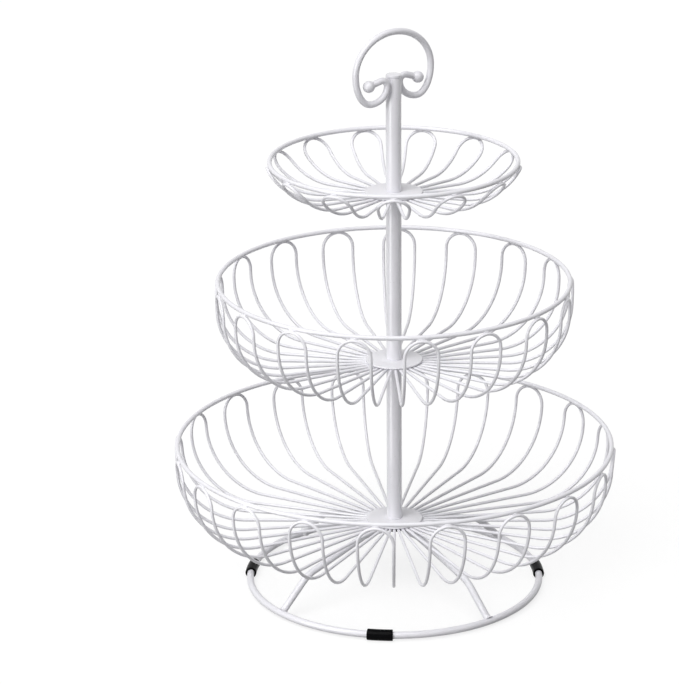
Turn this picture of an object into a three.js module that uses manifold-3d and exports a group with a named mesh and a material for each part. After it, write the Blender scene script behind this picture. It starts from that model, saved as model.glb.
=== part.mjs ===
// Three-tier wire produce basket: three welded wire bowls on a screwed post, a ring base on
// four legs with rubber sleeves for feet, and a scroll-ended carrying handle.
// Millimetres, +Z up. The origin is on the post's axis, on the surface the basket stands on.
// Azimuths are degrees about +Z from the front (-Y), positive towards +X.
import * as THREE from 'three';
import Module from 'manifold-3d';
import { mergeVertices } from 'three/addons/utils/BufferGeometryUtils.js';

const wasm = await Module();
wasm.setup();

// ---------------------------------------------------------------- driving dimensions
const GAP = 0.3; // clearance between pieces that touch

const RIM_WIRE = 3.2; // wire diameters
const LOOP_WIRE = 2.2;
const RING_WIRE = 5;
const LEG_WIRE = 5;
const HANDLE_WIRE = 4.6;

// Bowl radii are to the rim wire's centre. A depth runs from the floor wires' centre up to the
// rim wire's centre. halfSpread is the angle from a loop's middle to each of its two legs.
const BOWLS = {
  bottom: {
    loops: 20,
    turn: -4.7,
    rimRadius: 153.4,
    depth: 60.5,
    cornerRadius: 48,
    wallTilt: 3.9,
    halfSpread: 4.5,
  },
  middle: {
    loops: 17,
    turn: 8.6,
    rimRadius: 122.6,
    depth: 60.6,
    cornerRadius: 44.6,
    wallTilt: 1.8,
    halfSpread: 5.3,
  },
  top: {
    loops: 13,
    turn: 0,
    rimRadius: 85.4,
    depth: 24,
    cornerRadius: 43,
    wallTilt: 25,
    halfSpread: 7.5,
  },
};
const CROWN_ANGLE = 50; // degrees below level, from the rim wire to the loops welded under it

const BOTTOM_FLOOR = 46.5; // height of the bottom bowl's floor wires' centre
const LOWER_POST = 118.5; // length of each post section between the pieces it clamps
const MIDDLE_POST = 120.9;
const UPPER_POST = 80.5;
const POST_DIAMETER = 10.8;
const POST_WALL = 1;
const PLUG_LENGTH = 8; // solid end that carries the stud, and tapped end that takes one
const STUD_DIAMETER = 6;
const STUD_LENGTH = 10.5;
const CAP_THICKNESS = 2;
const CAP_PLUG_LENGTH = 4;

const DISC_RADIUS = 20;
const DISC_THICKNESS = 1.2;
const DISC_CHAMFER = 0.4;
const WELD_RING_WIDTH = 3; // the weld that ties a joined cage's inner ends together
const WELD_RING_THICKNESS = 1.6;

const NUT_ACROSS_FLATS = 13;
const NUT_HEIGHT = 7.4;

const RING_RADIUS = 103.6; // to the ring wire's centre
const LEG_AZIMUTHS = [-135, -45, 44, 135]; // in the bottom bowl's own frame, between its loops
const LEG_INNER_RADIUS = 12;
const LEG_FLAT_RADIUS = 26; // where a leg leaves the floor wires and starts down
const LEG_KNEE = { radius: 80, height: 26.5 };
const LEG_BEND_RADIUS = 24;

const FOOT_DIAMETER = 8;
const FOOT_LENGTH = 17.8;
const FOOT_AZIMUTHS = [-97, -5.6, 96, 180];

const HANDLE_TURN = 35; // of the handle's plane about the post
const HANDLE_HEIGHT = 85.2; // of the arch's widest level, from the top bowl's disc
const ARCH_HALF_SPAN = 31.2; // to the wire's centre
const ARCH_RISE = 27.3; // from the arch's widest level to its top
const SCROLL_TURN = 7.5; // of a scroll's plane about the arch's foot
const SCROLL_BOTTOM = { reach: 11.4, drop: 20.4 }; // from the arch's foot
const HOOK_RADIUS = 4.1;
const HOOK_DROP = 8.9; // of the hook's centre, below the arch's widest level
const BALL_DIAMETER = 8.1;
const BALL = { reach: 9.9, drop: 7.8 }; // from the arch's foot

// Facets
const LOOP_SIDES = 5;
const WIRE_SIDES = 6;
const CORNER_STEPS = 5;
const CROWN_STEPS = 6;
const RIM_STEPS = 64;
const RING_STEPS = 72;
const ROUND_STEPS = 24;
const TUBE_STEPS = 16;
const FOOT_SIDES = 8;
const FOOT_STEPS = 4;
const SHOULDER_STEPS = 2;
const KNEE_STEPS = 4;
const ARCH_STEPS = 9; // half of the arch
const SCROLL_STEPS = 5; // each of the two quarters of a scroll
const HOOK_STEPS = 4;
const BALL_STEPS = 12;
const NUT_HOLE_SIDES = 12;

// ---------------------------------------------------------------- materials
const POWDER_COAT = { color: 0xf1f1f2, roughness: 0.42, metalness: 0 };
const BLACK_RUBBER = { color: 0x0d0d0e, roughness: 0.5, metalness: 0 };
const BLACKENED_STEEL = { color: 0x141416, roughness: 0.45, metalness: 0.6 };

// ---------------------------------------------------------------- helpers
const radians = THREE.MathUtils.degToRad;

function namedMesh(name, geometry, finish) {
  const mesh = new THREE.Mesh(geometry, new THREE.MeshStandardMaterial(finish));
  mesh.name = name;
  return mesh;
}

function pointAt(radius, azimuth, height) {
  const angle = radians(azimuth);
  return new THREE.Vector3(radius * Math.sin(angle), -radius * Math.cos(angle), height);
}

// A centre line given by its stations: a sweep along it takes one step between neighbours.
class StationCurve extends THREE.Curve {
  constructor(stations) {
    super();
    this.stations = stations;
  }

  getPoint(t, target = new THREE.Vector3()) {
    const place = t * (this.stations.length - 1);
    const from = Math.min(Math.floor(place), this.stations.length - 2);
    return target.lerpVectors(this.stations[from], this.stations[from + 1], place - from);
  }

  getPointAt(u, target) {
    return this.getPoint(u, target);
  }

  getTangentAt(u, target = new THREE.Vector3()) {
    const last = this.stations.length - 1;
    const here = Math.round(u * last);
    const into = this.stations[Math.max(here, 1)].clone();
    into.sub(this.stations[Math.max(here, 1) - 1]).normalize();
    const outOf = this.stations[Math.min(here, last - 1) + 1].clone();
    outOf.sub(this.stations[Math.min(here, last - 1)]).normalize();
    return target.addVectors(into, outOf).normalize();
  }
}

// A regular polygon with a flat side down. Its corners lie on the circle, or past it so that
// its sides touch the circle from outside.
function polygon(radius, sides, outside = false) {
  const reach = outside ? radius / Math.cos(Math.PI / sides) : radius;
  const corners = [];
  for (let i = 0; i < sides; i += 1) {
    const angle = (2 * Math.PI * (i + 0.5)) / sides;
    corners.push(new THREE.Vector2(reach * Math.cos(angle), reach * Math.sin(angle)));
  }
  return corners;
}

function sweep(shape, stations) {
  return new THREE.ExtrudeGeometry(shape, {
    steps: stations.length - 1,
    extrudePath: new StationCurve(stations),
  });
}

function wire(diameter, stations, sides = WIRE_SIDES) {
  return sweep(new THREE.Shape(polygon(diameter / 2, sides)), stations);
}

function turned(profile, steps) {
  return new THREE.LatheGeometry(
    profile.map(([radius, height]) => new THREE.Vector2(radius, height)),
    steps,
  ).rotateX(Math.PI / 2);
}

// An arc of a circle, or of an ellipse if its half height isn't its half width.
function arcPoints(centre, radius, fromDegrees, toDegrees, steps, halfHeight = radius) {
  const points = [];
  for (let i = 0; i <= steps; i += 1) {
    const angle = radians(fromDegrees + ((toDegrees - fromDegrees) * i) / steps);
    points.push(
      new THREE.Vector2(
        centre.x + radius * Math.cos(angle),
        centre.y + halfHeight * Math.sin(angle),
      ),
    );
  }
  return points;
}

// The round bend that replaces a corner between two straights.
function bend(before, corner, after, radius, steps) {
  const back = before.clone().sub(corner).normalize();
  const ahead = after.clone().sub(corner).normalize();
  const half = Math.acos(back.dot(ahead)) / 2;
  const setback = radius / Math.tan(half);
  const start = corner.clone().addScaledVector(back, setback);
  const end = corner.clone().addScaledVector(ahead, setback);
  const middle = back.add(ahead).normalize();
  const centre = corner.clone().addScaledVector(middle, radius / Math.sin(half));
  const first = start.clone().sub(centre);
  const turn = Math.atan2(
    first.cross(end.clone().sub(centre)),
    first.dot(end.clone().sub(centre)),
  );
  const points = [];
  for (let i = 0; i <= steps; i += 1) {
    points.push(first.clone().rotateAround(new THREE.Vector2(), (turn * i) / steps).add(centre));
  }
  return points;
}

function toManifold(geometry) {
  const bare = geometry.clone();
  bare.deleteAttribute('normal');
  bare.deleteAttribute('uv');
  const merged = mergeVertices(bare, 1e-4);
  return new wasm.Manifold(
    new wasm.Mesh({
      numProp: 3,
      vertProperties: Float32Array.from(merged.attributes.position.array),
      triVerts: Uint32Array.from(merged.index.array),
    }),
  );
}

function joined(geometries) {
  const [first, ...rest] = geometries.map(toManifold);
  const mesh = rest.reduce((whole, piece) => whole.add(piece), first).getMesh();
  const geometry = new THREE.BufferGeometry();
  geometry.setAttribute('position', new THREE.BufferAttribute(mesh.vertProperties, 3));
  geometry.setIndex(new THREE.BufferAttribute(mesh.triVerts, 1));
  geometry.computeVertexNormals();
  return geometry;
}

// ---------------------------------------------------------------- bowls
// The line that a loop's wire follows from the rim down to the hub, as radius and height over
// the floor wires' centre. Distances along it are measured from the top.
class BowlSection {
  constructor(bowl) {
    const reach = (RIM_WIRE + LOOP_WIRE) / 2 + GAP;
    const drop = radians(CROWN_ANGLE);
    const corner = bowl.cornerRadius;
    this.topRadius = bowl.rimRadius + reach * Math.cos(drop);
    this.topHeight = bowl.depth - reach * Math.sin(drop);
    const straightWall = Math.PI / 2 - radians(bowl.wallTilt);
    const wholeDepth = Math.acos(Math.max(1 - this.topHeight / corner, -1));
    this.cornerAngle = Math.min(straightWall, wholeDepth);
    this.cornerRadius = corner;
    const cornerRise = corner * (1 - Math.cos(this.cornerAngle));
    this.wallLength = (this.topHeight - cornerRise) / Math.sin(this.cornerAngle);
    this.cornerLength = corner * this.cornerAngle;
    this.floorRadius = this.topRadius
      - this.wallLength * Math.cos(this.cornerAngle)
      - corner * Math.sin(this.cornerAngle);
  }

  at(distance) {
    if (distance <= this.wallLength) {
      return {
        radius: this.topRadius - distance * Math.cos(this.cornerAngle),
        height: this.topHeight - distance * Math.sin(this.cornerAngle),
      };
    }
    const past = distance - this.wallLength;
    if (past <= this.cornerLength) {
      const angle = this.cornerAngle - past / this.cornerRadius;
      return {
        radius: this.floorRadius + this.cornerRadius * Math.sin(angle),
        height: this.cornerRadius * (1 - Math.cos(angle)),
      };
    }
    return { radius: this.floorRadius - (past - this.cornerLength), height: 0 };
  }
}

// Neighbouring legs run in towards the hub until only the gap is left between them.
function innerEndRadius(bowl) {
  const closest = Math.min(2 * bowl.halfSpread, 360 / bowl.loops - 2 * bowl.halfSpread);
  return (LOOP_WIRE + GAP) / (2 * Math.sin(radians(closest) / 2));
}

// One loop: in from the hub along the floor, up the wall, over a round crown and back.
function loopGeometry(bowl) {
  const section = new BowlSection(bowl);
  const crown = section.topRadius * radians(bowl.halfSpread);
  const cornerStart = Math.max(crown, section.wallLength);
  const cornerEnd = section.wallLength + section.cornerLength;
  const hubEnd = cornerEnd + section.floorRadius - innerEndRadius(bowl);
  const legDistances = [hubEnd];
  for (let i = CORNER_STEPS; i >= 0; i -= 1) {
    legDistances.push(cornerStart + ((cornerEnd - cornerStart) * i) / CORNER_STEPS);
  }

  const leg = (side) => legDistances.map((distance) => {
    const { radius, height } = section.at(distance);
    return pointAt(radius, side * bowl.halfSpread, height);
  });
  const stations = leg(-1);
  const startsOnWall = section.wallLength > crown ? 0 : 1;
  for (let i = startsOnWall; i <= CROWN_STEPS - startsOnWall; i += 1) {
    const angle = (Math.PI * i) / CROWN_STEPS;
    const { radius, height } = section.at(crown * (1 - Math.sin(angle)));
    stations.push(pointAt(radius, -bowl.halfSpread * Math.cos(angle), height));
  }
  stations.push(...leg(1).reverse());
  return wire(LOOP_WIRE, stations, LOOP_SIDES);
}

function rimGeometry(bowl) {
  return new THREE.TorusGeometry(bowl.rimRadius, RIM_WIRE / 2, WIRE_SIDES, RIM_STEPS)
    .translate(0, 0, bowl.depth);
}

// The plate over the floor wires' inner ends, with the stud's hole through it.
const discUnderside = LOOP_WIRE / 2 + GAP;
const discTop = discUnderside + DISC_THICKNESS;

function discGeometry() {
  const hole = STUD_DIAMETER / 2 + GAP;
  return turned(
    [
      [hole, discUnderside],
      [DISC_RADIUS - DISC_CHAMFER, discUnderside],
      [DISC_RADIUS, discUnderside + DISC_CHAMFER],
      [DISC_RADIUS, discTop - DISC_CHAMFER],
      [DISC_RADIUS - DISC_CHAMFER, discTop],
      [hole, discTop],
      [hole, discUnderside],
    ],
    ROUND_STEPS,
  );
}

function weldRingGeometry(bowl) {
  const inner = innerEndRadius(bowl) - WELD_RING_WIDTH / 2;
  const outer = inner + WELD_RING_WIDTH;
  const half = WELD_RING_THICKNESS / 2;
  const profile = [[inner, -half], [outer, -half], [outer, half], [inner, half], [inner, -half]];
  return turned(profile, ROUND_STEPS);
}

// A bowl's loops, each its own piece, or all tied by the hub weld into one cage.
function bowlLoops(name, bowl, asCage) {
  const geometry = loopGeometry(bowl);
  const turns = Array.from({ length: bowl.loops }, (_, i) => (2 * Math.PI * i) / bowl.loops);
  if (asCage) {
    const copies = turns.map((turn) => geometry.clone().rotateZ(turn));
    const cage = joined([weldRingGeometry(bowl), ...copies]);
    return [namedMesh(`${name}_bowl_wire_cage`, cage, POWDER_COAT)];
  }
  return turns.map((turn, i) => {
    const number = String(i + 1).padStart(2, '0');
    const mesh = namedMesh(`${name}_bowl_loop_wire_${number}`, geometry.clone(), POWDER_COAT);
    mesh.rotation.z = turn;
    return mesh;
  });
}

function makeBowl(name, bowl, floorHeight, asCage = false) {
  const group = new THREE.Group();
  group.position.z = floorHeight;
  group.rotation.z = radians(bowl.turn);
  group.add(namedMesh(`${name}_bowl_rim`, rimGeometry(bowl), POWDER_COAT));
  group.add(namedMesh(`${name}_bowl_hub_disc`, discGeometry(), POWDER_COAT));
  group.add(...bowlLoops(name, bowl, asCage));
  return group;
}

// ---------------------------------------------------------------- post
// A section is a tube with a plug and stud at its foot and a tapped insert, or a cap, on top.
function postSectionGeometry(length, openTop) {
  const outer = POST_DIAMETER / 2;
  const bore = outer - POST_WALL;
  const stud = STUD_DIAMETER / 2;
  const mouth = openTop ? bore : stud + GAP;
  const insert = openTop ? [] : [[mouth, length - PLUG_LENGTH], [bore, length - PLUG_LENGTH]];
  return turned(
    [
      [0, -STUD_LENGTH],
      [stud, -STUD_LENGTH],
      [stud, 0],
      [outer, 0],
      [outer, length],
      [mouth, length],
      ...insert,
      [bore, PLUG_LENGTH],
      [0, PLUG_LENGTH],
    ],
    TUBE_STEPS,
  );
}

function capGeometry() {
  const plug = POST_DIAMETER / 2 - POST_WALL - GAP;
  return turned(
    [
      [0, -CAP_PLUG_LENGTH],
      [plug, -CAP_PLUG_LENGTH],
      [plug, GAP],
      [POST_DIAMETER / 2, GAP],
      [POST_DIAMETER / 2, CAP_THICKNESS + GAP],
      [0, CAP_THICKNESS + GAP],
    ],
    TUBE_STEPS,
  );
}

function nutGeometry() {
  const shape = new THREE.Shape(polygon(NUT_ACROSS_FLATS / 2, 6, true));
  shape.holes.push(new THREE.Path(polygon(STUD_DIAMETER / 2 + GAP, NUT_HOLE_SIDES, true)));
  return new THREE.ExtrudeGeometry(shape, { depth: NUT_HEIGHT, bevelEnabled: false });
}

// ---------------------------------------------------------------- handle
// A scroll's centre line in its own plane, from the arch's foot at the origin to the ball. x runs
// inward. The scroll's inner side passes the post at the distance of a weld.
function scrollOutline() {
  const turn = radians(SCROLL_TURN);
  const besidePost = POST_DIAMETER / 2 + GAP + HANDLE_WIRE / 2;
  const inner = ARCH_HALF_SPAN * Math.cos(turn)
    - Math.sqrt(besidePost ** 2 - (ARCH_HALF_SPAN * Math.sin(turn)) ** 2);
  const { reach, drop } = SCROLL_BOTTOM;
  const outerCentre = new THREE.Vector2(reach, 0);
  const innerCentre = new THREE.Vector2(reach, -HOOK_DROP);
  const hookCentre = new THREE.Vector2(inner - HOOK_RADIUS, -HOOK_DROP);
  const ball = new THREE.Vector2(BALL.reach, -BALL.drop);
  const toBall = ball.clone().sub(hookCentre);
  const hookEnd = toBall.angle() - Math.acos(HOOK_RADIUS / toBall.length());
  return [
    ...arcPoints(outerCentre, reach, 180, 270, SCROLL_STEPS, drop),
    ...arcPoints(innerCentre, inner - reach, 270, 360, SCROLL_STEPS, drop - HOOK_DROP).slice(1),
    ...arcPoints(hookCentre, HOOK_RADIUS, 0, THREE.MathUtils.radToDeg(hookEnd), HOOK_STEPS)
      .slice(1),
    ball,
  ];
}

// One half of the handle, from the top of its arch to the ball. The arch lies in the plane y = 0
// with its widest level at z = 0, and the scroll turns off that plane at the arch's foot, so that
// one scroll passes before the post and the other behind it.
function halfHandleStations() {
  const turn = radians(SCROLL_TURN);
  const arch = arcPoints(new THREE.Vector2(), ARCH_HALF_SPAN, 90, 0, ARCH_STEPS, ARCH_RISE);
  return [
    ...arch.map((point) => new THREE.Vector3(point.x, 0, point.y)),
    ...scrollOutline().slice(1).map((point) => (
      new THREE.Vector3(
        ARCH_HALF_SPAN - point.x * Math.cos(turn),
        point.x * Math.sin(turn),
        point.y,
      )
    )),
  ];
}

function handleGeometry() {
  const right = halfHandleStations();
  const left = right.slice(1).map((point) => new THREE.Vector3(-point.x, -point.y, point.z));
  const ends = [right.at(-1), left.at(-1)];
  const balls = ends.map((end) => {
    const ball = new THREE.SphereGeometry(BALL_DIAMETER / 2, BALL_STEPS, BALL_STEPS / 2);
    return ball.translate(end.x, end.y, end.z);
  });
  return joined([wire(HANDLE_WIRE, [...right.reverse(), ...left]), ...balls]);
}

// ---------------------------------------------------------------- base
const ringHeight = FOOT_DIAMETER / 2;

function baseRingGeometry() {
  return new THREE.TorusGeometry(RING_RADIUS, RING_WIRE / 2, WIRE_SIDES, RING_STEPS)
    .translate(0, 0, ringHeight);
}

// A leg runs level under the floor wires, slopes down to its knee and butts on the ring.
function legGeometry() {
  const level = BOTTOM_FLOOR - LOOP_WIRE / 2 - GAP - LEG_WIRE / 2;
  const inner = new THREE.Vector2(LEG_INNER_RADIUS, level);
  const shoulder = new THREE.Vector2(LEG_FLAT_RADIUS, level);
  const knee = new THREE.Vector2(LEG_KNEE.radius, LEG_KNEE.height);
  const ring = new THREE.Vector2(RING_RADIUS, ringHeight);
  const foot = knee.clone().sub(ring).setLength(RING_WIRE / 2 + GAP).add(ring);
  const outline = [
    inner,
    ...bend(inner, shoulder, knee, LEG_BEND_RADIUS, SHOULDER_STEPS),
    ...bend(shoulder, knee, foot, LEG_BEND_RADIUS, KNEE_STEPS),
    foot,
  ];
  return wire(LEG_WIRE, outline.map((point) => pointAt(point.x, 0, point.y)));
}

// A short tube of rubber, bent along the ring.
function footGeometry() {
  const shape = new THREE.Shape(polygon(FOOT_DIAMETER / 2, FOOT_SIDES, true));
  shape.holes.push(new THREE.Path(polygon(RING_WIRE / 2 + GAP, FOOT_SIDES, true)));
  const spread = THREE.MathUtils.radToDeg(FOOT_LENGTH / RING_RADIUS);
  const stations = [];
  for (let i = 0; i <= FOOT_STEPS; i += 1) {
    stations.push(pointAt(RING_RADIUS, spread * (i / FOOT_STEPS - 0.5), ringHeight));
  }
  return sweep(shape, stations);
}

function makeBase() {
  const group = new THREE.Group();
  group.add(namedMesh('base_ring', baseRingGeometry(), POWDER_COAT));
  LEG_AZIMUTHS.forEach((azimuth, i) => {
    const leg = namedMesh(`base_leg_${i + 1}`, legGeometry(), POWDER_COAT);
    leg.rotation.z = radians(BOWLS.bottom.turn + azimuth);
    group.add(leg);
  });
  FOOT_AZIMUTHS.forEach((azimuth, i) => {
    const foot = namedMesh(`rubber_foot_sleeve_${i + 1}`, footGeometry(), BLACK_RUBBER);
    foot.rotation.z = radians(azimuth);
    group.add(foot);
  });
  return group;
}

// ---------------------------------------------------------------- assembly
// Up the stack: each post section stands on a disc and carries the next bowl's disc.
const lowerPostFoot = BOTTOM_FLOOR + discTop + GAP;
const middleFloor = lowerPostFoot + LOWER_POST + GAP - discUnderside;
const middlePostFoot = middleFloor + discTop + GAP;
const topFloor = middlePostFoot + MIDDLE_POST + GAP - discUnderside;
const upperPostFoot = topFloor + discTop + GAP;

function placed(mesh, height, turn = 0) {
  mesh.position.z = height;
  mesh.rotation.z = radians(turn);
  return mesh;
}

function makePost() {
  const group = new THREE.Group();
  const section = (name, length, openTop) => (
    namedMesh(name, postSectionGeometry(length, openTop), POWDER_COAT)
  );
  group.add(
    placed(section('post_lower_section', LOWER_POST, false), lowerPostFoot),
    placed(section('post_middle_section', MIDDLE_POST, false), middlePostFoot),
    placed(section('post_upper_section', UPPER_POST, true), upperPostFoot),
    placed(namedMesh('post_top_cap', capGeometry(), POWDER_COAT), upperPostFoot + UPPER_POST),
    placed(
      namedMesh('post_clamp_nut', nutGeometry(), BLACKENED_STEEL),
      BOTTOM_FLOOR + discUnderside - GAP - NUT_HEIGHT,
    ),
    placed(
      namedMesh('carrying_handle', handleGeometry(), POWDER_COAT),
      topFloor + discTop + HANDLE_HEIGHT,
      HANDLE_TURN,
    ),
  );
  return group;
}

const produceBasket = new THREE.Group();
produceBasket.add(
  makeBase(),
  makeBowl('bottom', BOWLS.bottom, BOTTOM_FLOOR),
  makeBowl('middle', BOWLS.middle, middleFloor),
  makeBowl('top', BOWLS.top, topFloor, true),
  makePost(),
);

export default produceBasket;
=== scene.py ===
"""The looks of a three-tier wire produce basket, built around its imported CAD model.

Metres, +Z up, with the origin on the post's axis, on the surface that the basket stands on.
Azimuths are degrees about +Z from the front (-Y), positive towards +X, as in the CAD source.
"""

import math
import random

import bpy
from mathutils import Matrix, Vector


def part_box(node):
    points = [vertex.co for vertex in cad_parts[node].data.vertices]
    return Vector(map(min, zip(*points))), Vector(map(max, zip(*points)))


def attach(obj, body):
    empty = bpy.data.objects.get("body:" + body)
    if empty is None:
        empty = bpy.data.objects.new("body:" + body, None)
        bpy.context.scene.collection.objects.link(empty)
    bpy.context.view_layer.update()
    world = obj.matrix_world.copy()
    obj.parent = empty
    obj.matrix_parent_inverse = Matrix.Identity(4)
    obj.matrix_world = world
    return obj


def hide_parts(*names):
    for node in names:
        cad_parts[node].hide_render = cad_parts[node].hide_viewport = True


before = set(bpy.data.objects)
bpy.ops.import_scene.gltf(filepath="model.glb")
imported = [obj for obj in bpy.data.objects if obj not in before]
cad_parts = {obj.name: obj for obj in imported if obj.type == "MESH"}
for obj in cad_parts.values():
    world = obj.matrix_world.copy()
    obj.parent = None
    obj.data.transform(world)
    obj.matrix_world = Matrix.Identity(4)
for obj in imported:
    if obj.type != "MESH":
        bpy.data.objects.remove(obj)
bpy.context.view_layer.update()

# ------------------------------------------------------------------ driving dimensions
MM = 0.001
GAP = 0.3 * MM  # clearance that the CAD leaves between pieces that touch

RIM_WIRE = 3.2 * MM
LOOP_WIRE = 2.2 * MM
RING_WIRE = 5 * MM
LEG_WIRE = 5 * MM
HANDLE_WIRE = 4.6 * MM

# turn, wall_tilt and half_spread are degrees; corner is the radius between floor and wall.
BOWLS = {
    "bottom": {
        "body": "stand",
        "loops": 20,
        "turn": -4.7,
        "corner": 48 * MM,
        "wall_tilt": 3.9,
        "half_spread": 4.5,
    },
    "middle": {
        "body": "middle_bowl",
        "loops": 17,
        "turn": 8.6,
        "corner": 44.6 * MM,
        "wall_tilt": 1.8,
        "half_spread": 5.3,
    },
    "top": {
        "body": "top_bowl",
        "loops": 13,
        "turn": 0,
        "corner": 43 * MM,
        "wall_tilt": 25,
        "half_spread": 7.5,
    },
}
CROWN_ANGLE = 50  # degrees below level, from the rim wire to the loops welded under it

STUD_DIAMETER = 6 * MM
STUD_PITCH = 1 * MM
THREAD_DEPTH = 0.5 * MM
POST_WALL = 1 * MM
PLUG_LENGTH = 8 * MM

LEG_AZIMUTHS = (-135, -45, 44, 135)
LEG_INNER_RADIUS = 12 * MM
LEG_FLAT_RADIUS = 26 * MM
LEG_KNEE = (80 * MM, 26.5 * MM)
LEG_BEND_RADIUS = 24 * MM

FOOT_LENGTH = 17.8 * MM
FOOT_PLAY = 0.05 * MM  # between the sleeve's bore and the ring wire
FOOT_AZIMUTHS = {"left": -97, "front": -5.6, "right": 96, "back": 180}

# Reaches and drops are from the arch's foot, inward in the scroll's own plane, and down.
HANDLE_TURN = 35
HANDLE_HEIGHT = 85.2 * MM  # of the arch's widest level, over the top bowl's disc
ARCH_HALF_SPAN = 31.2 * MM
ARCH_RISE = 27.3 * MM
SCROLL_TURN = 7.5  # of a scroll's plane about the arch's foot
SCROLL_REACH = 11.4 * MM  # to its lowest point
SCROLL_DROP = 20.4 * MM
HOOK_RADIUS = 4.1 * MM
HOOK_DROP = 8.9 * MM
BALL_DIAMETER = 8.1 * MM
BALL_REACH = 9.9 * MM
BALL_DROP = 7.8 * MM

# Ends, seams and edges
END_ROUNDING = 0.45  # of a wire's radius
END_ROUNDING_MOST = 0.5 * MM
SEAM_BULGE = 0.09 * MM
SEAM_SPREAD = 2.2 * MM
DISC_EDGE = 0.5 * MM
TUBE_EDGE = 0.35 * MM
CAP_EDGE = 0.45 * MM
FOOT_EDGE = 0.55 * MM
LOOP_UNEVENNESS = 0.25  # degrees either way, in each loop's place

# Weld beads. The halves are of length, width and height, or of width and height where each bead
# draws its own half length from a range.
CROWN_WELD_HALF_LENGTH = (2.3 * MM, 3.0 * MM)
CROWN_WELD_HALVES = (1.15 * MM, 0.75 * MM)
HUB_WELD_HALVES = (1.6 * MM, 1.2 * MM, 0.85 * MM)
HUB_WELD_INSET = 0.9 * MM  # from the wire's inner end
HUB_WELD_RISE = 0.36 * LOOP_WIRE  # over the wire's centre
HANDLE_WELD_HALF_LENGTH = (3.2 * MM, 3.9 * MM)
HANDLE_WELD_HALVES = (1.05 * MM, 0.95 * MM)
HANDLE_WELD_OFFSET = 0.35 * MM  # of its middle, off the post
HANDLE_WELD_SHIFT = 0.6 * MM  # before and behind the place where wire and post touch
HANDLE_WELD_DROP = 1.2 * MM
LEG_WELD_HALVES = (2.6 * MM, 1.25 * MM, 0.9 * MM)
LEG_WELD_RADIUS = (21.5 * MM, 24.5 * MM)  # range of its place, from the post's axis
LEG_FLARE = 1.25 * MM
LEG_FLARE_HEIGHT = 2.4 * MM
LEG_FLARE_SINK = 0.9 * MM  # of its foot, into the ring
LEG_FLARE_CURVE = 2.2  # power; a higher one pulls the flare in sooner

# Fineness of the surfaces
STEP = 2.5 * MM  # along a wire
FOOT_STEP = 1.2 * MM
END_STEPS = 3
CORNER_STEPS = 4
WIRE_SIDES = 16
HEAVY_WIRE_SIDES = 20
HANDLE_SIDES = 24
FOOT_SIDES = 32
STUD_SIDES = 36
ROUND_SIDES = 64
NUT_SIDES = 72
DISC_SIDES = 96
RING_SIDES = 240
BEAD_ROWS = 9
BEAD_SIDES = 14
SHARP_ANGLE = 40
NUT_SHARP_ANGLE = 25

UP = Vector((0, 0, 1))

unevenness = random.Random(11)


# ------------------------------------------------------------------ sizes read from the frame
def wire_radius_from_box(node, wire):
    """Radius to the centre of a round wire ring, from the ring's box."""
    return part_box(node)[1].x - wire / 2


def mid_height(node):
    low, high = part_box(node)
    return (low.z + high.z) / 2


for bowl_name, bowl in BOWLS.items():
    disc_low, disc_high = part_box(f"{bowl_name}_bowl_hub_disc")
    bowl["rim_radius"] = wire_radius_from_box(f"{bowl_name}_bowl_rim", RIM_WIRE)
    bowl["rim_height"] = mid_height(f"{bowl_name}_bowl_rim")
    bowl["floor"] = disc_low.z - GAP - LOOP_WIRE / 2
    bowl["disc"] = (disc_low.z, disc_high.z, disc_high.x)
    bowl["depth"] = bowl["rim_height"] - bowl["floor"]

RING_RADIUS = wire_radius_from_box("base_ring", RING_WIRE)
RING_HEIGHT = mid_height("base_ring")
FOOT_RADIUS = RING_HEIGHT
POST_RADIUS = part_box("post_upper_section")[1].x


# ------------------------------------------------------------------ mesh building
class Shells:
    """Closed surfaces, each made of rings of points, gathered into one mesh."""

    def __init__(self):
        self.points = []
        self.faces = []

    def add(self, rings, endless=False):
        """Joins neighbouring rings. The ends close on each other, or each on a middle point."""
        sides = len(rings[0])
        first = len(self.points)
        for ring in rings:
            self.points.extend(ring)
        count = len(rings) if endless else len(rings) - 1
        for row in range(count):
            here = first + row * sides
            there = first + ((row + 1) % len(rings)) * sides
            for i in range(sides):
                j = (i + 1) % sides
                self.faces.append((here + i, here + j, there + j, there + i))
        if not endless:
            self.close(first, rings[0], backwards=True)
            self.close(first + (len(rings) - 1) * sides, rings[-1], backwards=False)
        return self

    def close(self, start, ring, backwards):
        middle = len(self.points)
        self.points.append(sum(ring, Vector()) / len(ring))
        for i in range(len(ring)):
            pair = (start + i, start + (i + 1) % len(ring))
            self.faces.append((pair[1], pair[0], middle) if backwards else (*pair, middle))

    def piece(self, name, material, sharp=SHARP_ANGLE):
        mesh = bpy.data.meshes.new(name)
        mesh.from_pydata(self.points, [], self.faces)
        mesh.polygons.foreach_set("use_smooth", [True] * len(mesh.polygons))
        mesh.set_sharp_from_angle(angle=math.radians(sharp))
        mesh.materials.append(material)
        made = bpy.data.objects.new(name, mesh)
        bpy.context.scene.collection.objects.link(made)
        return made


def finish_piece(made, body, slot, *nodes):
    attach(made, body)
    if nodes:
        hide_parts(*nodes)
    return made


def point_at(radius, azimuth, height):
    angle = math.radians(azimuth)
    return Vector((radius * math.sin(angle), -radius * math.cos(angle), height))


def outward(azimuth):
    """The level direction away from the post's axis."""
    return point_at(1, azimuth, 0)


def ring_about(centre, across, upward, radius, sides, phase=0.5):
    turns = (2 * math.pi * (i + phase) / sides for i in range(sides))
    return [centre + radius * (math.cos(a) * across + math.sin(a) * upward) for a in turns]


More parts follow.
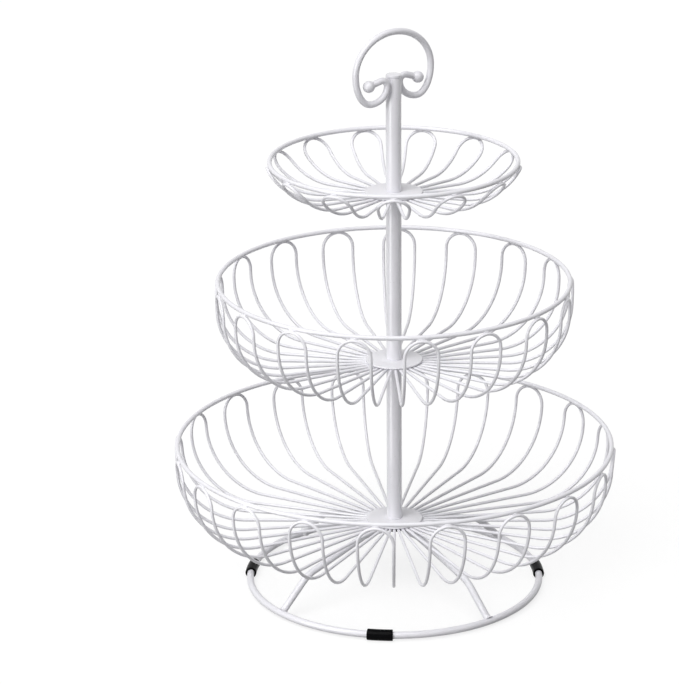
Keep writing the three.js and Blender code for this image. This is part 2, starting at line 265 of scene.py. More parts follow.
def sweep(stations, radii, sides=WIRE_SIDES):
    """Rings along an open line, carried from one to the next without twist."""
    rings = []
    across = None
    for i, station in enumerate(stations):
        ahead = stations[min(i + 1, len(stations) - 1)]
        behind = stations[max(i - 1, 0)]
        along = (ahead - behind).normalized()
        if across is None:
            across = along.orthogonal().normalized()
        across = (across - across.dot(along) * along).normalized()
        rings.append(ring_about(station, across, along.cross(across), radii[i], sides))
    return rings


def wire_rings(stations, wire, sides=WIRE_SIDES):
    """A wire whose cut ends are rounded by its coat of powder."""
    radius = wire / 2
    edge = min(END_ROUNDING * radius, END_ROUNDING_MOST)
    lead_in = (stations[1] - stations[0]).normalized()
    lead_out = (stations[-1] - stations[-2]).normalized()
    start, end, radii_in = [], [], []
    for i in range(END_STEPS + 1):
        turn = math.radians(90 * i / END_STEPS)
        start.append(stations[0] + edge * (1 - math.sin(turn)) * lead_in)
        end.append(stations[-1] - edge * (1 - math.sin(turn)) * lead_out)
        radii_in.append(radius - edge * (1 - math.cos(turn)))
    line = start[::-1] + stations[1:-1] + end
    radii = radii_in[::-1] + [radius] * (len(stations) - 2) + radii_in
    return sweep(line, radii, sides)


def ring_wire_rings(radius, height, wire, seam_azimuth, sides=WIRE_SIDES):
    """A wire bent into a full circle, with the low bulge of its ground and coated butt weld."""
    rings = []
    for i in range(RING_SIDES):
        azimuth = 360 * i / RING_SIDES
        away = (azimuth - seam_azimuth + 180) % 360 - 180
        swell = SEAM_BULGE * math.exp(-((math.radians(away) * radius / SEAM_SPREAD) ** 2))
        centre = point_at(radius, azimuth, height)
        rings.append(ring_about(centre, -outward(azimuth), UP, wire / 2 + swell, sides))
    return rings


def rounded(profile, radius, closed=True):
    """An outline of (height, radius) pairs with a curve in place of each sharp corner, which takes
    less than half of a short side."""
    most = 0.45
    outline = []
    for i, (x, y) in enumerate(profile):
        if not closed and i in (0, len(profile) - 1):
            outline.append((x, y))
            continue
        corner = Vector((x, y))
        back = Vector(profile[i - 1]) - corner
        ahead = Vector(profile[(i + 1) % len(profile)]) - corner
        cut = min(radius, back.length * most, ahead.length * most)
        start = corner + back.normalized() * cut
        end = corner + ahead.normalized() * cut
        for step in range(CORNER_STEPS + 1):
            t = step / CORNER_STEPS
            point = (1 - t) ** 2 * start + 2 * t * (1 - t) * corner + t * t * end
            outline.append((point.x, point.y))
    return outline


def turned(profile, sides=ROUND_SIDES, reach=None):
    """Rings of a body of revolution about +Z, from (height, radius) pairs. reach(angle, height,
    radius) may change the radius, as for a hexagon or a thread."""
    rings = []
    for height, radius in profile:
        ring = []
        for i in range(sides):
            angle = 2 * math.pi * i / sides
            r = reach(angle, height, radius) if reach else radius
            ring.append(Vector((r * math.cos(angle), r * math.sin(angle), height)))
        rings.append(ring)
    return rings


def placed(rings, matrix):
    return [[matrix @ point for point in ring] for ring in rings]


def bend(before, corner, after, radius, steps):
    """The round bend that replaces a corner between two straights, as (radius, height) points."""
    back = (Vector(before) - Vector(corner)).normalized()
    ahead = (Vector(after) - Vector(corner)).normalized()
    half = back.angle(ahead) / 2
    setback = radius / math.tan(half)
    start = Vector(corner) + back * setback
    end = Vector(corner) + ahead * setback
    centre = Vector(corner) + (back + ahead).normalized() * (radius / math.sin(half))
    first, last = start - centre, end - centre
    turn = math.atan2(first.x * last.y - first.y * last.x, first.dot(last))
    points = []
    for i in range(steps + 1):
        angle = turn * i / steps
        cos, sin = math.cos(angle), math.sin(angle)
        spun = Vector((cos * first.x - sin * first.y, sin * first.x + cos * first.y))
        points.append(spun + centre)
    return points


def arc(centre, half_width, start, end, steps, half_height=None):
    """An arc of a circle, or of an ellipse if it has a half height of its own."""
    half_height = half_height or half_width
    points = []
    for i in range(steps + 1):
        angle = math.radians(start + (end - start) * i / steps)
        reach = Vector((half_width * math.cos(angle), half_height * math.sin(angle)))
        points.append(centre + reach)
    return points


def bead(centre, long_axis, up_axis, halves, lumpiness=0.1):
    """Rings of one lumpy weld bead: a stretched ball, with halves of its three sizes."""
    long_axis = long_axis.normalized()
    up_axis = (up_axis - up_axis.dot(long_axis) * long_axis).normalized()
    side_axis = up_axis.cross(long_axis)
    phase = unevenness.uniform(0, 2 * math.pi)
    rings = []
    for row in range(1, BEAD_ROWS):
        polar = math.pi * row / BEAD_ROWS
        ring = []
        for i in range(BEAD_SIDES):
            angle = 2 * math.pi * i / BEAD_SIDES
            swell = 1 + lumpiness * math.sin(2 * angle + phase) * math.sin(3 * polar + phase)
            ring.append(
                centre
                - halves[0] * math.cos(polar) * long_axis
                + halves[1] * swell * math.sin(polar) * math.cos(angle) * side_axis
                + halves[2] * swell * math.sin(polar) * math.sin(angle) * up_axis
            )
        rings.append(ring)
    return rings


# ------------------------------------------------------------------ materials
# Sockets of the Mix node in its colour mode
MIX_FACTOR, MIX_A, MIX_B = 0, 6, 7
MIX_COLOUR_OUT = 2


class NodeMaterial:
    """A material with short calls to add and link its nodes."""

    def __init__(self, name):
        self.material = bpy.data.materials.new(name)
        self.material.use_nodes = True
        self.tree = self.material.node_tree
        self.shader = self.tree.nodes["Principled BSDF"]
        self.place = self.node("ShaderNodeTexCoord").outputs["Object"]

    def node(self, kind, **settings):
        made = self.tree.nodes.new(kind)
        for key, value in settings.items():
            setattr(made, key, value)
        return made

    def link(self, out, into):
        self.tree.links.new(out, into)

    def noise(self, scale, detail=2.0, roughness=0.5, distortion=0.0):
        made = self.node("ShaderNodeTexNoise")
        made.inputs["Scale"].default_value = scale
        made.inputs["Detail"].default_value = detail
        made.inputs["Roughness"].default_value = roughness
        made.inputs["Distortion"].default_value = distortion
        self.link(self.place, made.inputs["Vector"])
        return made.outputs["Fac"]

    def ramp(self, factor, stops):
        """A colour ramp from (position, colour) stops; a number stands for a grey."""
        made = self.node("ShaderNodeValToRGB")
        elements = made.color_ramp.elements
        while len(elements) < len(stops):
            elements.new(0.5)
        for element, (position, colour) in zip(elements, stops):
            element.position = position
            shade = (colour,) * 3 if isinstance(colour, (int, float)) else colour
            element.color = (*shade, 1)
        self.link(factor, made.inputs["Fac"])
        return made.outputs["Color"]

    def mix(self, factor, a, b):
        """Colour a where factor is 0 and b where it is 1. Each is an output or a colour."""
        made = self.node("ShaderNodeMix", data_type="RGBA")
        for value, socket in ((factor, MIX_FACTOR), (a, MIX_A), (b, MIX_B)):
            if isinstance(value, tuple):
                made.inputs[socket].default_value = (*value, 1)
            else:
                self.link(value, made.inputs[socket])
        return made.outputs[MIX_COLOUR_OUT]

    def bump(self, height, distance, strength, onto=None):
        """A bumped normal, on top of another one if onto is given."""
        made = self.node("ShaderNodeBump")
        made.inputs["Distance"].default_value = distance
        made.inputs["Strength"].default_value = strength
        self.link(height, made.inputs["Height"])
        if onto:
            self.link(onto, made.inputs["Normal"])
        return made.outputs["Normal"]


def shaded(tint, share):
    return tuple(share * part for part in tint)


def powder_coat(name, tint, roughness, gloss=0.25):
    """Satin white powder on steel: orange peel, slight clouding, nibs of dust and dull rubs."""
    m = NodeMaterial(name)
    clouding = m.noise(scale=38, detail=3)
    clouds = m.ramp(clouding, [(0.3, shaded(tint, 0.975)), (0.7, tint)])
    nibs = m.ramp(m.noise(scale=1150, detail=1), [(0.735, 0), (0.775, 1)])
    specked = m.mix(nibs, clouds, shaded(tint, 0.74))
    wear = m.noise(scale=210, detail=6, roughness=0.72, distortion=0.6)
    rubs = m.ramp(wear, [(0.62, 0), (0.78, 0.45)])
    coat = m.mix(rubs, specked, shaded(tint, 0.87))
    m.link(coat, m.shader.inputs["Base Color"])
    sheen = m.noise(scale=95, detail=4)
    dull = m.ramp(sheen, [(0.3, roughness - 0.05), (0.7, roughness + 0.08)])
    m.link(dull, m.shader.inputs["Roughness"])
    peel = m.bump(m.noise(scale=720, detail=1.5), distance=0.05 * MM, strength=0.35)
    grit = m.noise(scale=1150, detail=1)
    nib_bump = m.bump(grit, distance=0.02 * MM, strength=0.2, onto=peel)
    m.link(nib_bump, m.shader.inputs["Normal"])
    m.shader.inputs["Specular IOR Level"].default_value = 0.4
    m.shader.inputs["Coat Weight"].default_value = gloss
    m.shader.inputs["Coat Roughness"].default_value = 0.14
    return m.material


def black_rubber():
    """Smooth black tube: a slight sheen, fine drawing lines and a trace of pale dust."""
    m = NodeMaterial("black_rubber_tube")
    dust = m.ramp(m.noise(scale=420, detail=5, roughness=0.7), [(0.55, 0), (0.85, 0.5)])
    tone = m.mix(dust, RUBBER_BLACK, RUBBER_DUST)
    m.link(tone, m.shader.inputs["Base Color"])
    dull = m.ramp(m.noise(scale=160, detail=4), [(0.3, 0.16), (0.7, 0.26)])
    m.link(dull, m.shader.inputs["Roughness"])
    m.shader.inputs["Specular IOR Level"].default_value = 0.03
    drawn = m.bump(m.noise(scale=900, detail=3), distance=0.03 * MM, strength=0.25)
    m.link(drawn, m.shader.inputs["Normal"])
    return m.material


def black_steel():
    """Black oxide on steel, with brown-grey thin places and fine machining roughness."""
    m = NodeMaterial("black_oxide_steel")
    thin = m.ramp(m.noise(scale=330, detail=5, roughness=0.65), [(0.45, 0), (0.8, 0.7)])
    m.link(m.mix(thin, OXIDE_BLACK, OXIDE_THIN), m.shader.inputs["Base Color"])
    dull = m.ramp(m.noise(scale=500, detail=3), [(0.3, 0.43), (0.7, 0.6)])
    m.link(dull, m.shader.inputs["Roughness"])
    machined = m.bump(m.noise(scale=1400, detail=3), distance=0.02 * MM, strength=0.4)
    m.link(machined, m.shader.inputs["Normal"])
    m.shader.inputs["Metallic"].default_value = 0.75
    m.shader.inputs["Specular IOR Level"].default_value = 0.2
    return m.material


WIRE_WHITE = (0.885, 0.878, 0.92)
PLATE_WHITE = (0.87, 0.862, 0.90)
WELD_WHITE = (0.85, 0.845, 0.88)
RUBBER_BLACK = (0.003, 0.003, 0.0035)
RUBBER_DUST = (0.016, 0.016, 0.017)
OXIDE_BLACK = (0.004, 0.004, 0.0045)
OXIDE_THIN = (0.016, 0.0155, 0.015)

wire_coat = powder_coat("white_powder_coat_wire", WIRE_WHITE, roughness=0.40)
tube_coat = powder_coat("white_powder_coat_tube", WIRE_WHITE, roughness=0.36, gloss=1)
plate_coat = powder_coat("white_powder_coat_plate", PLATE_WHITE, roughness=0.46)
weld_coat = powder_coat("white_powder_coat_weld", WELD_WHITE, roughness=0.5)
rubber = black_rubber()
nut_steel = black_steel()

COAT_SLOT = "white_powder_coat"
RUBBER_SLOT = "black_rubber"
NUT_SLOT = "black_nut"


# ------------------------------------------------------------------ bowls
class BowlSection:
    """The line that a loop's wire follows from its crown down to the hub, in radius and height
    over the floor wires' centre. Distances along it are measured from the top."""

    def __init__(self, bowl):
        reach = (RIM_WIRE + LOOP_WIRE) / 2 + GAP
        drop = math.radians(CROWN_ANGLE)
        self.corner = bowl["corner"]
        self.top_radius = bowl["rim_radius"] + reach * math.cos(drop)
        self.top_height = bowl["depth"] - reach * math.sin(drop)
        straight_wall = math.pi / 2 - math.radians(bowl["wall_tilt"])
        whole_depth = math.acos(max(1 - self.top_height / self.corner, -1))
        self.angle = min(straight_wall, whole_depth)
        rise = self.corner * (1 - math.cos(self.angle))
        self.wall_length = (self.top_height - rise) / math.sin(self.angle)
        self.corner_length = self.corner * self.angle
        self.floor_radius = (
            self.top_radius
            - self.wall_length * math.cos(self.angle)
            - self.corner * math.sin(self.angle)
        )

    def at(self, distance):
        if distance <= self.wall_length:
            radius = self.top_radius - distance * math.cos(self.angle)
            return radius, self.top_height - distance * math.sin(self.angle)
        past = distance - self.wall_length
        if past <= self.corner_length:
            angle = self.angle - past / self.corner
            radius = self.floor_radius + self.corner * math.sin(angle)
            return radius, self.corner * (1 - math.cos(angle))
        return self.floor_radius - (past - self.corner_length), 0

    def length_to(self, radius):
        return self.wall_length + self.corner_length + self.floor_radius - radius


def inner_end_radius(bowl):
    """Where neighbouring loop wires have run in until only the gap is left between them."""
    closest = min(2 * bowl["half_spread"], 360 / bowl["loops"] - 2 * bowl["half_spread"])
    return (LOOP_WIRE + GAP) / (2 * math.sin(math.radians(closest) / 2))


def loop_line(bowl, azimuth):
    """One loop's centre line: in from the hub, up the wall, over a round crown and back."""
    section = BowlSection(bowl)
    spread = bowl["half_spread"]
    crown = section.top_radius * math.radians(spread)
    hub_end = section.length_to(inner_end_radius(bowl))
    steps = round((hub_end - crown) / STEP)
    leg = [hub_end + (crown - hub_end) * i / steps for i in range(steps)]
    crown_steps = 2 * round(crown * math.pi / 2 / STEP)

    def at(distance, side_angle):
        radius, height = section.at(distance)
        return point_at(radius, azimuth + side_angle, bowl["floor"] + height)

    line = [at(distance, -spread) for distance in leg]
    for i in range(crown_steps + 1):
        angle = math.pi * i / crown_steps
        line.append(at(crown * (1 - math.sin(angle)), -spread * math.cos(angle)))
    line += [at(distance, spread) for distance in reversed(leg)]
    return line


def make_crown_welds(name, bowl, azimuths):
    """The bead in the valley between the rim and each loop's crown."""
    shells = Shells()
    drop = math.radians(CROWN_ANGLE)
    contact = (RIM_WIRE + GAP) / 2
    for azimuth in azimuths:
        out = outward(azimuth)
        down = math.cos(drop) * out - math.sin(drop) * UP
        rim = point_at(bowl["rim_radius"], azimuth, bowl["rim_height"])
        halves = (unevenness.uniform(*CROWN_WELD_HALF_LENGTH), *CROWN_WELD_HALVES)
        shells.add(bead(rim + down * contact, UP.cross(out), down, halves))
    made = shells.piece(f"{name}_bowl_crown_welds", weld_coat)
    return finish_piece(made, bowl["body"], COAT_SLOT)


def make_hub_welds(name, bowl, azimuths):
    """The beads that hold each wire's inner end to the underside of the disc."""
    shells = Shells()
    radius = inner_end_radius(bowl) + HUB_WELD_INSET
    for azimuth in azimuths:
        for side in (-1, 1):
            turn = azimuth + side * bowl["half_spread"]
            centre = point_at(radius, turn, bowl["floor"] + HUB_WELD_RISE)
            shells.add(bead(centre, outward(turn), UP, HUB_WELD_HALVES, lumpiness=0.16))
    made = shells.piece(f"{name}_bowl_hub_welds", weld_coat)
    return finish_piece(made, bowl["body"], COAT_SLOT)


def make_hub_disc(name, bowl):
    """A pressed plate with a rolled edge and a clean hole for the stud."""
    low, high, radius = bowl["disc"]
    hole = STUD_DIAMETER / 2 + GAP
    profile = rounded([(low, hole), (low, radius), (high, radius), (high, hole)], DISC_EDGE)
    made = Shells().add(turned(profile, DISC_SIDES), endless=True)
    made = made.piece(f"{name}_bowl_hub_plate", plate_coat)
    return finish_piece(made, bowl["body"], COAT_SLOT, f"{name}_bowl_hub_disc")


def make_bowl(name, bowl):
    seam = bowl["turn"] + 180 / bowl["loops"]
    rim = ring_wire_rings(bowl["rim_radius"], bowl["rim_height"], RIM_WIRE, seam)
    made = Shells().add(rim, endless=True).piece(f"{name}_bowl_rim_wire", wire_coat)
    finish_piece(made, bowl["body"], COAT_SLOT, f"{name}_bowl_rim")
    make_hub_disc(name, bowl)
    azimuths = []
    for i in range(bowl["loops"]):
        uneven = unevenness.uniform(-LOOP_UNEVENNESS, LOOP_UNEVENNESS)
        azimuths.append(bowl["turn"] + 360 * i / bowl["loops"] + uneven)
        rings = wire_rings(loop_line(bowl, azimuths[-1]), LOOP_WIRE)
        made = Shells().add(rings).piece(f"{name}_bowl_loop_{i + 1:02d}", wire_coat)
        node = f"{name}_bowl_loop_wire_{i + 1:02d}"
        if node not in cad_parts:
            node = f"{name}_bowl_wire_cage"
        finish_piece(made, bowl["body"], COAT_SLOT, node)
    make_crown_welds(name, bowl, azimuths)
    make_hub_welds(name, bowl, azimuths)


# ------------------------------------------------------------------ post
SEAT = 0.05 * MM  # what is left of a joint's gap when it is screwed tight
AXIS = 0.2 * MM  # radius at which a turned end closes on its middle point


def thread(angle, height, radius):
    """A stud's radius under a screw thread of V section."""
    if radius < STUD_DIAMETER / 2:
        return radius
    turn = (height / STUD_PITCH - angle / (2 * math.pi)) % 1
    return radius - THREAD_DEPTH * (1 - abs(2 * turn - 1))


def make_stud(name, foot, top, node):
    rows_per_turn = 6
    rows = round((top - foot) / (STUD_PITCH / rows_per_turn))
    radius = STUD_DIAMETER / 2
    chamfer = 0.6 * MM
    tip = 0.3 * radius
    start = foot + chamfer
    profile = [(foot, tip), (foot, radius - chamfer)]
    profile += [(start + (top - start) * i / rows, radius) for i in range(rows)]
    profile += [(top, radius - chamfer), (top, tip)]
    made = Shells().add(turned(profile, STUD_SIDES, thread)).piece(name, nut_steel)
    return finish_piece(made, "stand", NUT_SLOT, node)


def make_post_section(which, standing_on, open_top):
    """A tube with a plug at its foot, and a tapped insert or an open mouth on top."""
    node = f"post_{which}_section"
    foot = BOWLS[standing_on]["disc"][1] + SEAT
    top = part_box(node)[1].z + (0 if open_top else GAP - SEAT)
    bore = POST_RADIUS - POST_WALL
    mouth = bore if open_top else STUD_DIAMETER / 2 + GAP
    profile = [
        (foot, AXIS),
        (foot, POST_RADIUS),
        (top, POST_RADIUS),
        (top, mouth),
        (top - PLUG_LENGTH, mouth),
        (top - PLUG_LENGTH - POST_WALL, bore),
        (foot + PLUG_LENGTH, bore),
        (foot + PLUG_LENGTH, AXIS),
    ]
    outline = rounded(profile, TUBE_EDGE, closed=False)
    made = Shells().add(turned(outline)).piece(f"post_{which}_tube", tube_coat)
    finish_piece(made, "stand", COAT_SLOT, node)
    make_stud(f"post_{which}_stud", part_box(node)[0].z, foot - SEAT, node)


def make_post_cap():
    """A shallow plug with a rolled edge and a slightly domed top."""
    node = "post_top_cap"
    low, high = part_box(node)
    plug = POST_RADIUS - POST_WALL - GAP
    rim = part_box("post_upper_section")[1].z + SEAT
    dome = 0.25 * MM
    crown_sag = 0.4 * dome
    crown_radius = 0.6 * POST_RADIUS
    steps = 8
    profile = [
        (low.z, AXIS),
        (low.z, plug),
        (rim, plug),
        (rim, POST_RADIUS),
        (high.z - dome, POST_RADIUS),
        (high.z - crown_sag, crown_radius),
    ]
    edge = rounded(profile, CAP_EDGE, closed=False)
    inward = [1 - i / steps for i in range(1, steps)]
    crown = [(high.z - crown_sag * out**2, crown_radius * out) for out in inward]
    made = Shells().add(turned(edge + crown)).piece("post_cap", tube_coat)
    return finish_piece(made, "stand", COAT_SLOT, node)


def make_nut():
    """A hexagon nut, chamfered at both faces."""
    node = "post_clamp_nut"
    low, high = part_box(node)
    flat = high.x
    half_side = 30  # degrees from a flat's middle to a corner

    def hexagon(angle, height, radius):
        off = (math.degrees(angle) + half_side) % (2 * half_side) - half_side
        return min(radius, flat / math.cos(math.radians(off)))

    corner = flat / math.cos(math.radians(half_side))
    chamfer_slope = math.tan(math.radians(30))
    rise = (corner - flat) * chamfer_slope
    steps = 4
    ramp = [(rise * i / steps, flat + (corner - flat) * i / steps) for i in range(steps + 1)]
    hole = STUD_DIAMETER / 2 + GAP / 2
    sink = 0.5 * MM
    profile = [(low.z + sink, hole), (low.z, hole + sink)]
    profile += [(low.z + height, radius) for height, radius in ramp]
    profile += [(high.z - height, radius) for height, radius in reversed(ramp)]
    profile += [(high.z, hole + sink), (high.z - sink, hole)]
    made = Shells().add(turned(profile, NUT_SIDES, hexagon), endless=True)
    made = made.piece("post_hexagon_nut", nut_steel, sharp=NUT_SHARP_ANGLE)
    return finish_piece(made, "stand", NUT_SLOT, node)


# ------------------------------------------------------------------ handle
ARCH_STEPS = 34  # in half the arch
SCROLL_STEPS = 18
HOOK_STEPS = 14
NECK_STEPS = 5
BALL_STEPS = 24
NECK = 1.6 * MM  # of wire between the ball and where the line is divided evenly


def scroll_inner_reach():
    """From the arch's foot to the scroll's inner side, which passes beside the post."""
    turn = math.radians(SCROLL_TURN)
    beside = POST_RADIUS + GAP + HANDLE_WIRE / 2
    off_axis = ARCH_HALF_SPAN * math.sin(turn)
    return ARCH_HALF_SPAN * math.cos(turn) - math.sqrt(beside**2 - off_axis**2)


def scroll_outline():
    """A scroll's centre line in its own plane, from the arch's foot down and round to where the
    wire runs straight to the ball, and the ball's centre. x runs inward from the foot."""
    inner = scroll_inner_reach()
    outer_centre = Vector((SCROLL_REACH, 0))
    inner_centre = Vector((SCROLL_REACH, -HOOK_DROP))
    hook_centre = Vector((inner - HOOK_RADIUS, -HOOK_DROP))
    ball = Vector((BALL_REACH, -BALL_DROP))
    to_ball = ball - hook_centre
    end = math.atan2(to_ball.y, to_ball.x) - math.acos(HOOK_RADIUS / to_ball.length)
    rise = SCROLL_DROP - HOOK_DROP
    line = arc(outer_centre, SCROLL_REACH, 180, 270, SCROLL_STEPS, SCROLL_DROP)
    line += arc(inner_centre, inner - SCROLL_REACH, 270, 360, HOOK_STEPS, rise)[1:]
    line += arc(hook_centre, HOOK_RADIUS, 0, math.degrees(end), HOOK_STEPS)[1:]
    return line, ball


def neck_and_ball(stem, ball):
    """Points and radii from where the scroll's line ends to the ball's far side. The powder fills
    the corner between wire and ball, which blend gives its sharpness."""
    ball_radius = BALL_DIAMETER / 2
    wire_radius = HANDLE_WIRE / 2
    blend = 4
    points = []
    radii = []
    for i in range(NECK_STEPS):
        points.append(ball - stem * (ball_radius + NECK * (1 - i / NECK_STEPS)))
        radii.append(wire_radius)
    for i in range(BALL_STEPS):
        polar = math.pi * i / BALL_STEPS
        swell = ball_radius * math.sin(polar)
        wire_part = wire_radius if polar < math.pi / 2 else 0
        points.append(ball - stem * ball_radius * math.cos(polar))
        radii.append((wire_part**blend + swell**blend) ** (1 / blend))
    return points, radii


def half_handle():
    """Centre line and radii of half the handle, from the arch's top to the ball's far side, with
    the arch in the plane y = 0 and its widest level at z = 0."""
    arch = arc(Vector((0, 0)), ARCH_HALF_SPAN, 90, 0, ARCH_STEPS, ARCH_RISE)
    scroll, ball = scroll_outline()
    end_points, end_radii = neck_and_ball((ball - scroll[-1]).normalized(), ball)
    radii = [HANDLE_WIRE / 2] * (len(arch) + len(scroll) - 1) + end_radii
    line = [Vector((p.x, 0, p.y)) for p in arch]
    turn = math.radians(SCROLL_TURN)
    cos, sin = math.cos(turn), math.sin(turn)
    flat = scroll[1:] + end_points
    line += [Vector((ARCH_HALF_SPAN - p.x * cos, p.x * sin, p.y)) for p in flat]
    return line, radii


def make_handle_welds(placing):
    """Two beads along each side of the post, before and behind where a scroll touches it."""
    welds = Shells()
    reach = scroll_inner_reach()
    tilt = math.radians(SCROLL_TURN)
    beside = Vector((ARCH_HALF_SPAN - reach * math.cos(tilt), reach * math.sin(tilt), 0))
    out = beside.normalized()
    along = Vector((-out.y, out.x, 0))
    for side in (-1, 1):
        for face in (-1, 1):
            contact = side * out * (POST_RADIUS + HANDLE_WELD_OFFSET)
            contact += face * HANDLE_WELD_SHIFT * along
            contact.z = -HOOK_DROP - HANDLE_WELD_DROP
            halves = (unevenness.uniform(*HANDLE_WELD_HALF_LENGTH), *HANDLE_WELD_HALVES)
            welds.add(placed(bead(contact, UP, side * out, halves), placing))
    made = welds.piece("scroll_handle_welds", weld_coat)
    return finish_piece(made, "stand", COAT_SLOT)


def make_handle():
    centre = BOWLS["top"]["disc"][1] + HANDLE_HEIGHT
    right, radii = half_handle()
    left = [Vector((-p.x, -p.y, p.z)) for p in right[1:]]
    rings = sweep(left[::-1] + right, radii[:0:-1] + radii, HANDLE_SIDES)
    turning = Matrix.Rotation(math.radians(HANDLE_TURN), 4, "Z")
    placing = Matrix.Translation((0, 0, centre)) @ turning
    made = Shells().add(placed(rings, placing)).piece("scroll_handle", wire_coat)
    finish_piece(made, "stand", COAT_SLOT, "carrying_handle")
    make_handle_welds(placing)


# ------------------------------------------------------------------ base
SHOULDER_STEPS = 8
KNEE_STEPS = 14
FLARE_STEPS = 8
FLARE_SIDES = 24


def leg_outline():
    """A leg's centre line as (radius, height) points, from under the hub to the ring."""
    level = BOWLS["bottom"]["floor"] - LOOP_WIRE / 2 - GAP - LEG_WIRE / 2
    inner = Vector((LEG_INNER_RADIUS, level))
    shoulder = Vector((LEG_FLAT_RADIUS, level))
    knee = Vector(LEG_KNEE)
    ring = Vector((RING_RADIUS, RING_HEIGHT))
    foot = ring + (knee - ring).normalized() * (RING_WIRE / 2)
    line = [inner]
    line += bend(inner, shoulder, knee, LEG_BEND_RADIUS, SHOULDER_STEPS)
    line += bend(shoulder, knee, foot, LEG_BEND_RADIUS, KNEE_STEPS)
    line.append(foot)
    return line


def make_leg(number, azimuth):
    line = [point_at(p.x, azimuth, p.y) for p in leg_outline()]
    rings = wire_rings(line, LEG_WIRE, HEAVY_WIRE_SIDES)
    made = Shells().add(rings).piece(f"base_leg_wire_{number}", wire_coat)
    return finish_piece(made, "stand", COAT_SLOT, f"base_leg_{number}")


def leg_flare(azimuth):
    """Rings of the flared fillet where a leg butts on the ring."""
    above, foot = (point_at(p.x, azimuth, p.y) for p in leg_outline()[-2:])
    upward = (above - foot).normalized()
    stations = []
    radii = []
    for i in range(FLARE_STEPS + 1):
        height = LEG_FLARE_HEIGHT * i / FLARE_STEPS - LEG_FLARE_SINK
        stations.append(foot + upward * height)
        radii.append(LEG_WIRE / 2 + LEG_FLARE * (1 - i / FLARE_STEPS) ** LEG_FLARE_CURVE)
    return sweep(stations, radii, FLARE_SIDES)


def make_leg_welds(azimuths):
    """The flares at the legs' feet, and beads along the two floor wires that each lies under."""
    shells = Shells()
    height = BOWLS["bottom"]["floor"] - LOOP_WIRE / 2 - GAP / 2
    for azimuth in azimuths:
        shells.add(leg_flare(azimuth))
        for side in (-1, 1):
            turn = azimuth + side * 180 / BOWLS["bottom"]["loops"] / 2
            centre = point_at(unevenness.uniform(*LEG_WELD_RADIUS), turn, height)
            shells.add(bead(centre, outward(turn), UP, LEG_WELD_HALVES, lumpiness=0.14))
    made = shells.piece("base_leg_welds", weld_coat)
    return finish_piece(made, "stand", COAT_SLOT)


def foot_outline():
    """A sleeve's section as (distance along the ring, radius) pairs, fine enough to bend."""
    bore = RING_WIRE / 2 + FOOT_PLAY
    half = FOOT_LENGTH / 2
    corners = [(-half, bore), (-half, FOOT_RADIUS), (half, FOOT_RADIUS), (half, bore)]
    outline = rounded(corners, FOOT_EDGE)
    refined = []
    for i, (x, r) in enumerate(outline):
        ahead_x, ahead_r = outline[(i + 1) % len(outline)]
        pieces = max(1, math.ceil(abs(ahead_x - x) / FOOT_STEP))
        for k in range(pieces):
            refined.append((x + (ahead_x - x) * k / pieces, r + (ahead_r - r) * k / pieces))
    return refined


def make_foot(where, number, azimuth):
    """A cut length of rubber tube, bent along the ring wire that it sleeves."""
    rings = []
    for distance, radius in foot_outline():
        turn = azimuth + math.degrees(distance / RING_RADIUS)
        centre = point_at(RING_RADIUS, turn, RING_HEIGHT)
        rings.append(ring_about(centre, -outward(turn), UP, radius, FOOT_SIDES, phase=0))
    made = Shells().add(rings, endless=True).piece(f"rubber_foot_{where}", rubber)
    return finish_piece(made, "stand", RUBBER_SLOT, f"rubber_foot_sleeve_{number}")


def make_base():
    seam = FOOT_AZIMUTHS["back"]
    rings = ring_wire_rings(RING_RADIUS, RING_HEIGHT, RING_WIRE, seam, HEAVY_WIRE_SIDES)
    made = Shells().add(rings, endless=True).piece("base_ring_wire", wire_coat)
    finish_piece(made, "stand", COAT_SLOT, "base_ring")
    azimuths = [BOWLS["bottom"]["turn"] + azimuth for azimuth in LEG_AZIMUTHS]
    for number, azimuth in enumerate(azimuths, 1):
        make_leg(number, azimuth)
    make_leg_welds(azimuths)
    for number, (where, azimuth) in enumerate(FOOT_AZIMUTHS.items(), 1):
        make_foot(where, number, azimuth)


# ------------------------------------------------------------------ stage, camera and light
FLOOR_RADIUS = 8
FLOOR_STEP = 5  # degrees
FLOOR_DROP = 0.02 * MM
FLOOR_SHADE = 0.26  # of its own colour, which takes the shadow
FLOOR_GLOW = 0.79  # added where it is seen, to make it white
WORLD_LIGHT = 0.25
SUN_DISTANCE = 3  # of the lamp's own place, which doesn't change its light

LENS = 169
CAMERA_PLACE = (0, -2.1217, 0.9311)
# degrees
CAMERA_YAW = 1.032
CAMERA_DIP = 19.451
CAMERA_ROLL = -0.47


def seen_directly(tree):
    """1 for rays from the camera and for reflected or transmitted ones, and 0 for others."""
    path = tree.nodes.new("ShaderNodeLightPath")
    seen = path.outputs["Is Camera Ray"]
    for kind in ("Is Glossy Ray", "Is Transmission Ray"):
        either = tree.nodes.new("ShaderNodeMath")
        either.operation = "MAXIMUM"
        tree.links.new(seen, either.inputs[0])
        tree.links.new(path.outputs[kind], either.inputs[1])
        seen = either.outputs[0]
    return seen


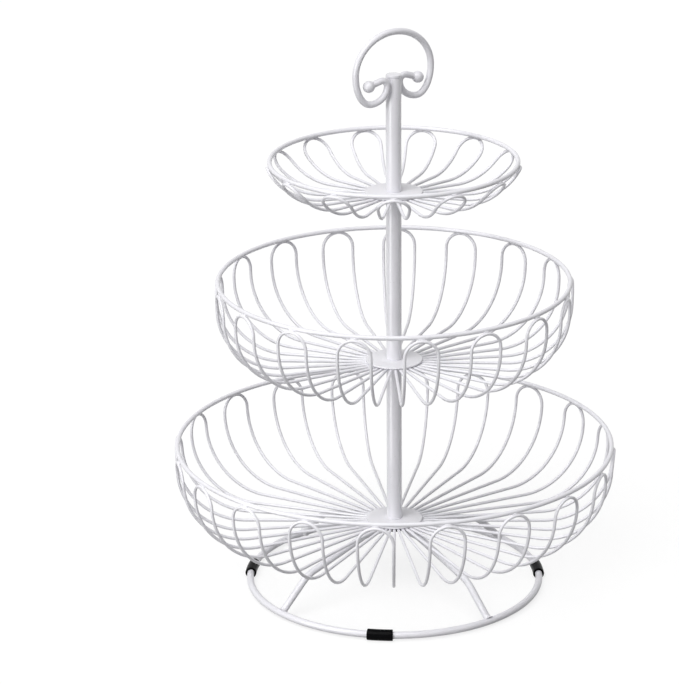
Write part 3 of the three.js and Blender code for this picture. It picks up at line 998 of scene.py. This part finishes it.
def make_floor():
    """A matt floor that looks white and keeps the shadow, and throws little light back up."""
    floor = Shells()
    turns = range(0, 360, FLOOR_STEP)
    floor.points = [point_at(FLOOR_RADIUS, turn, -FLOOR_DROP) for turn in turns]
    floor.faces = [tuple(range(len(floor.points)))]
    m = NodeMaterial("studio_floor")
    m.shader.inputs["Roughness"].default_value = 1
    m.shader.inputs["Specular IOR Level"].default_value = 0
    m.shader.inputs["Base Color"].default_value = (FLOOR_SHADE,) * 3 + (1,)
    glow = m.node("ShaderNodeMath", operation="MULTIPLY")
    m.link(seen_directly(m.tree), glow.inputs[0])
    glow.inputs[1].default_value = FLOOR_GLOW
    m.shader.inputs["Emission Color"].default_value = (1, 1, 1, 1)
    m.link(glow.outputs[0], m.shader.inputs["Emission Strength"])
    floor.piece("studio_floor", m.material)


def make_world():
    """White where it is seen or reflected, and a soft weaker light from all sides."""
    world = bpy.data.worlds.new("studio")
    world.use_nodes = True
    bpy.context.scene.world = world
    tree = world.node_tree
    background = tree.nodes["Background"]
    background.inputs["Color"].default_value = (1, 1, 1, 1)
    strength = tree.nodes.new("ShaderNodeMapRange")
    tree.links.new(seen_directly(tree), strength.inputs["Value"])
    strength.inputs["To Min"].default_value = WORLD_LIGHT
    strength.inputs["To Max"].default_value = 1
    tree.links.new(strength.outputs["Result"], background.inputs["Strength"])


def make_sun(name, azimuth, elevation, width, level):
    """A soft lamp, far off and width degrees wide. level is the shade that it alone gives to a
    white surface that faces it."""
    light = bpy.data.lights.new(name, "SUN")
    light.angle = math.radians(width)
    light.energy = level * math.pi
    lamp = bpy.data.objects.new(name, light)
    rise = math.radians(elevation)
    lamp.location = SUN_DISTANCE * point_at(math.cos(rise), azimuth, math.sin(rise))
    lamp.rotation_euler = (-lamp.location).to_track_quat("-Z", "Y").to_euler()
    bpy.context.scene.collection.objects.link(lamp)


def make_sheen_strip(name, azimuth, distance, width, height, level):
    """A narrow upright panel beside the basket that is seen only as a reflection, for a soft line
    of light down the post. level is the brightness of the panel itself, where white is 1."""
    light = bpy.data.lights.new(name, "AREA")
    light.shape = "RECTANGLE"
    light.size = width
    light.size_y = height
    light.energy = level * math.pi * width * height
    lamp = bpy.data.objects.new(name, light)
    lamp.location = point_at(distance, azimuth, height / 2)
    lamp.rotation_euler = (-outward(azimuth)).to_track_quat("-Z", "Y").to_euler()
    lamp.visible_camera = False
    lamp.visible_diffuse = False
    bpy.context.scene.collection.objects.link(lamp)


def make_camera():
    data = bpy.data.cameras.new("camera")
    data.lens = LENS
    camera = bpy.data.objects.new("camera", data)
    camera.matrix_world = (
        Matrix.Translation(CAMERA_PLACE)
        @ Matrix.Rotation(math.radians(CAMERA_YAW), 4, "Z")
        @ Matrix.Rotation(math.radians(90 - CAMERA_DIP), 4, "X")
        @ Matrix.Rotation(math.radians(CAMERA_ROLL), 4, "Z")
    )
    bpy.context.scene.collection.objects.link(camera)
    bpy.context.scene.camera = camera


make_camera()
make_floor()
make_world()
make_sun("key", azimuth=-34, elevation=60, width=50, level=0.7)
make_sun("side", azimuth=-42, elevation=12, width=14, level=0.25)
make_sheen_strip("sheen", azimuth=-49, distance=0.22, width=0.08, height=0.45, level=4.5)
bpy.context.scene.view_settings.view_transform = "Standard"

# ------------------------------------------------------------------ the basket
for bowl_name, bowl in BOWLS.items():
    make_bowl(bowl_name, bowl)
make_post_section("lower", "bottom", open_top=False)
make_post_section("middle", "middle", open_top=False)
make_post_section("upper", "top", open_top=True)
make_post_cap()
make_nut()
make_handle()
make_base()
